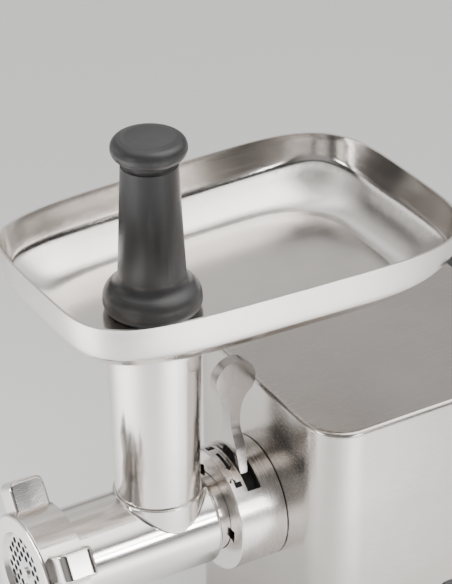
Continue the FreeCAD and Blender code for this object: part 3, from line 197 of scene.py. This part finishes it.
# ---------------------------------------------------------------- materials
STEEL = (0.80, 0.765, 0.735)
DULL_STEEL = (0.54, 0.51, 0.48)
MATERIALS = {
    "brushed_tray": brushed_metal("tray_steel", STEEL, 0.18, (700, 9, 700), depth=0.000008),
    "cast_head": brushed_metal("head_metal", STEEL, 0.16, (60, 60, 1400), anisotropy=0.3, depth=0.000008),
    "steel": brushed_metal("ground_steel", (0.62, 0.62, 0.62), 0.28, (900, 40, 900)),
    "black_steel": brushed_metal("blackened_steel", (0.03, 0.03, 0.03), 0.5, (300, 300, 300)),
    "blade_steel": brushed_metal("blade_steel", (0.68, 0.68, 0.68), 0.22, (900, 900, 60)),
    "chrome_collar": brushed_metal("collar_metal", STEEL, 0.24, (40, 1400, 40)),
    # The lever's chrome is STEEL darkened to about 0.55 of its brightness. This is painted shade for the
    # darker surroundings that the lever reflects.
    "lever_chrome": brushed_metal("lever_metal_painted_shade", (0.44, 0.415, 0.40), 0.22, (500, 500, 80)),
    "housing_steel": brushed_metal("housing_steel", DULL_STEEL, 0.24, (1500, 14, 1500), depth=0.000012),
    "fastener": brushed_metal("zinc_plate", (0.55, 0.55, 0.56), 0.35, (900, 900, 900)),
    "gear_steel": brushed_metal("gear_steel", (0.42, 0.42, 0.43), 0.30, (300, 1200, 300)),
    "bearing_steel": brushed_metal("bearing_steel", (0.62, 0.62, 0.63), 0.12, (900, 200, 900)),
    "cast_aluminium": brushed_metal("cast_aluminium", (0.58, 0.58, 0.58), 0.5, (500, 500, 500),
                                    depth=0.0001),
    "lamination": brushed_metal("lamination_steel", (0.32, 0.32, 0.34), 0.45, (60, 2600, 60), depth=0.0001),
    "copper": brushed_metal("enamelled_copper", (0.66, 0.30, 0.14), 0.32, (60, 1800, 60), depth=0.0002),
    "sheet_steel": brushed_metal("galvanised_sheet", (0.56, 0.57, 0.58), 0.42, (90, 90, 90)),
    "black_plastic": moulded_plastic("black_plastic", (0.022, 0.022, 0.023), 0.42),
    "grey_plastic": moulded_plastic("pusher_plastic", (0.046, 0.046, 0.048), 0.36),
    "nylon": moulded_plastic("nylon", (0.80, 0.79, 0.73), 0.45),
    "rubber": moulded_plastic("rubber", (0.02, 0.02, 0.02), 0.75, texture=900.0),
    "carbon": moulded_plastic("carbon", (0.03, 0.03, 0.03), 0.6),
    "board_green": moulded_plastic("board_green", (0.03, 0.18, 0.08), 0.25, texture=500.0),
    "mark_ink": moulded_plastic("mark_ink", (0.006, 0.006, 0.006), 0.9),
    "button_red": moulded_plastic("button_red", (0.50, 0.02, 0.015), 0.25),
}

# Edges sharper than this many degrees stay crisp
SPLIT_ANGLE = 28
SPLIT_ANGLES = {"food_tray": 55, "locking_lever": 35}


def finish_nodes():
    """Gives every CAD node the material of its slot and smooth shading between its sharp edges."""
    for entry in frame["record"]["subparts"]:
        node = NODES[entry["node"]]
        node.data.materials.clear()
        node.data.materials.append(MATERIALS[entry["material_slot"]])
        node.data.shade_smooth()
        edge_split = node.modifiers.new("sharp_edges", "EDGE_SPLIT")
        edge_split.split_angle = math.radians(SPLIT_ANGLES.get(entry["node"], SPLIT_ANGLE))


finish_nodes()


# ---------------------------------------------------------------- lock marks on the collar
# Along the collar, metres count from the throat; round it, degrees count from straight up towards +X.
AXIS_Z = 0.145
THROAT_Y = -0.102
MARK_R = 0.04402
MARK_DEPTH = 0.00012
MILLIMETRE = math.degrees(0.001 / MARK_R)      # degrees round the collar

LOCK_HALF = 0.0027            # half the padlock body's width along the collar
LOCK_BACK = 1.9 * MILLIMETRE
LOCK_FRONT = 2.1 * MILLIMETRE
SHACKLE_CENTRE = 2.9 * MILLIMETRE
SHACKLE_INNER = 0.0009
SHACKLE_OUTER = 0.0021
SHACKLE_RISE = 1.5 * MILLIMETRE
SHACKLE_CROWN = 0.8 * MILLIMETRE
SHACKLE_STEPS = 8
SEAM = 0.0001                 # overlap that keeps the shackle's halves joined
LEG_CLOSED = 1.6 * MILLIMETRE
LEG_OPEN = 0.4 * MILLIMETRE

BAR_HALF = 0.0012
BAR_ROWS = 12
HEAD_HALF = 0.0026
HEAD_LENGTH = 4.2             # degrees
HEAD_TIP = 0.00004
HEAD_ROWS = 4


def collar_point(y, degrees, radius):
    angle = math.radians(degrees)
    return (radius * math.sin(angle), THROAT_Y + y, AXIS_Z + radius * math.cos(angle))


def collar_mark(name, strips):
    """Thin printed mark: each strip is a list of (y, y, degrees) rows joined by quads."""
    verts, faces = [], []
    for strip in strips:
        for row, (y_low, y_high, degrees) in enumerate(strip):
            start = len(verts)
            for radius in (MARK_R - MARK_DEPTH, MARK_R):
                verts += [collar_point(y_low, degrees, radius), collar_point(y_high, degrees, radius)]
            if row == 0:
                faces.append((start, start + 1, start + 3, start + 2))
            else:
                before = start - 4
                faces.append((before + 2, before + 3, start + 3, start + 2))
                faces.append((before, start, start + 1, before + 1))
                faces.append((before, before + 2, start + 2, start))
                faces.append((before + 1, start + 1, start + 3, before + 3))
            if row == len(strip) - 1:
                faces.append((start, start + 2, start + 3, start + 1))
    mesh = bpy.data.meshes.new(name)
    mesh.from_pydata(verts, [], faces)
    work = bmesh.new()
    work.from_mesh(mesh)
    bmesh.ops.recalc_face_normals(work, faces=work.faces)
    work.to_mesh(mesh)
    work.free()
    mark = bpy.data.objects.new(name, mesh)
    bpy.context.scene.collection.objects.link(mark)
    mark.data.materials.append(MATERIALS["mark_ink"])
    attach(mark, "machine")


def padlock(name, y, degrees, shift):
    """Padlock whose shackle points back towards the closed end; shift slides it open along the axis."""
    strips = [[(y - LOCK_HALF, y + LOCK_HALF, degrees + end) for end in (-LOCK_BACK, LOCK_FRONT)]]
    centre = degrees - SHACKLE_CENTRE
    for side in (-1, 1):
        arc = []
        for step in range(SHACKLE_STEPS + 1):
            angle = math.pi / 2 * step / SHACKLE_STEPS
            inner = y + shift + side * SHACKLE_INNER * math.sin(angle)
            outer = y + shift + side * SHACKLE_OUTER * math.sin(angle)
            rise = (SHACKLE_RISE + SHACKLE_CROWN * (1 - step / SHACKLE_STEPS)) * math.cos(angle)
            low, high = sorted((inner, outer))
            arc.append((low - SEAM, high + SEAM, centre - rise))
        leg_end = degrees - LEG_CLOSED if side > 0 or not shift else centre + LEG_OPEN
        low, high = sorted((y + shift + side * SHACKLE_INNER, y + shift + side * SHACKLE_OUTER))
        arc.append((low, high, leg_end))
        strips.append(arc)
    collar_mark(name, strips)


def arrow(name, y, from_degrees, to_degrees):
    """Arrow round the collar: a straight bar and a head that narrows to its tip."""
    bar_end = to_degrees - HEAD_LENGTH
    bar = []
    for row in range(BAR_ROWS + 1):
        bar.append((y - BAR_HALF, y + BAR_HALF, from_degrees + (bar_end - from_degrees) * row / BAR_ROWS))
    head = []
    for row in range(HEAD_ROWS + 1):
        share = row / HEAD_ROWS
        half = HEAD_HALF * (1 - share) + HEAD_TIP
        head.append((y - half, y + half, bar_end + HEAD_LENGTH * share))
    collar_mark(name, [bar, head])


padlock("mark_closed", 0.0478, -12.5, 0.0)
arrow("mark_arrow", 0.0478, -1.0, 23.0)
padlock("mark_open", 0.0482, 38.5, -0.0030)


# ---------------------------------------------------------------- stage and light
FLOOR_REACH = 14.0
FLOOR_CLOUDS = (1.5, 1.5, 1.5)
PALE = (0.66, 0.66, 0.66)
PALER = (0.70, 0.70, 0.70)


def make_stage():
    """Wide pale floor."""
    mesh = bpy.data.meshes.new("floor")
    corners = [(FLOOR_REACH * x, FLOOR_REACH * y, 0) for x, y in ((-1, -1), (1, -1), (1, 1), (-1, 1))]
    mesh.from_pydata(corners, [], [(0, 1, 2, 3)])
    floor = bpy.data.objects.new("floor", mesh)
    bpy.context.scene.collection.objects.link(floor)
    shader = Shader("floor_paper")
    shader.paint(shader.noise(FLOOR_CLOUDS, detail=2.0), PALE, PALER)
    shader.set(Roughness=0.8)
    floor.data.materials.append(shader.material)


def area_light(name, place, size, power):
    """Soft box that hangs at place, shines straight down and isn't seen by the camera itself."""
    data = bpy.data.lights.new(name, "AREA")
    data.shape = "RECTANGLE"
    data.size, data.size_y = size
    data.energy = power
    light = bpy.data.objects.new(name, data)
    bpy.context.scene.collection.objects.link(light)
    light.visible_camera = False
    light.location = place


# Soft boxes in the sky: direction, radius and soft edge in degrees, brightness added to the plain sky
SKY = 0.035
SKY_COLOUR = (1.0, 0.985, 0.965, 1)
SKY_PATCHES = (
    ((0.30, 0.43, 0.85), 14, 22, 3.0),
    ((0.0, 0.82, 0.57), 8, 22, 1.2),
    ((0.0, 0.0, 1.0), 15, 25, 0.9),
    ((-0.5, 0.0, 0.87), 8, 22, 0.8),
    ((-0.25, -0.43, 0.87), 8, 22, 0.6),
    ((-0.70, 0.46, 0.55), 11, 20, 0.62),
    ((-0.69, -0.69, 0.21), 8, 22, 1.3),
    ((-0.98, 0.0, 0.20), 14, 26, 0.35),
    ((0.68, -0.68, 0.27), 14, 26, 0.35),
)


def make_world():
    """Dim sky with a soft patch of light in each direction of SKY_PATCHES."""
    world = bpy.data.worlds.new("studio")
    bpy.context.scene.world = world
    world.use_nodes = True
    tree = world.node_tree
    background = tree.nodes["Background"]
    background.inputs["Color"].default_value = SKY_COLOUR
    coordinates = tree.nodes.new("ShaderNodeTexCoord")
    total = None
    for direction, radius, edge, brightness in SKY_PATCHES:
        dot = tree.nodes.new("ShaderNodeVectorMath")
        dot.operation = "DOT_PRODUCT"
        tree.links.new(coordinates.outputs["Generated"], dot.inputs[0])
        dot.inputs[1].default_value = Vector(direction).normalized()
        patch = tree.nodes.new("ShaderNodeMapRange")
        patch.interpolation_type = "SMOOTHSTEP"
        patch.inputs["From Min"].default_value = math.cos(math.radians(radius + edge))
        patch.inputs["From Max"].default_value = math.cos(math.radians(radius))
        patch.inputs["To Max"].default_value = brightness
        tree.links.new(dot.outputs["Value"], patch.inputs["Value"])
        add = tree.nodes.new("ShaderNodeMath")
        add.inputs[0].default_value = SKY
        if total is not None:
            tree.links.new(total, add.inputs[0])
        tree.links.new(patch.outputs["Result"], add.inputs[1])
        total = add.outputs["Value"]
    tree.links.new(total, background.inputs["Strength"])


make_stage()
make_world()
area_light("overhead_box", (0.3, 0.5, 1.7), (0.9, 1.4), 3)
area_light("side_box", (0.46, 0.06, 0.26), (0.12, 0.16), 3.6)
area_light("far_side_box", (0.95, 0.25, 0.55), (0.3, 0.3), 5.5)
area_light("front_box", (-0.14, -0.56, 0.26), (0.16, 0.12), 4.6)
area_light("far_front_box", (0.1, -1.05, 0.55), (0.3, 0.3), 10)
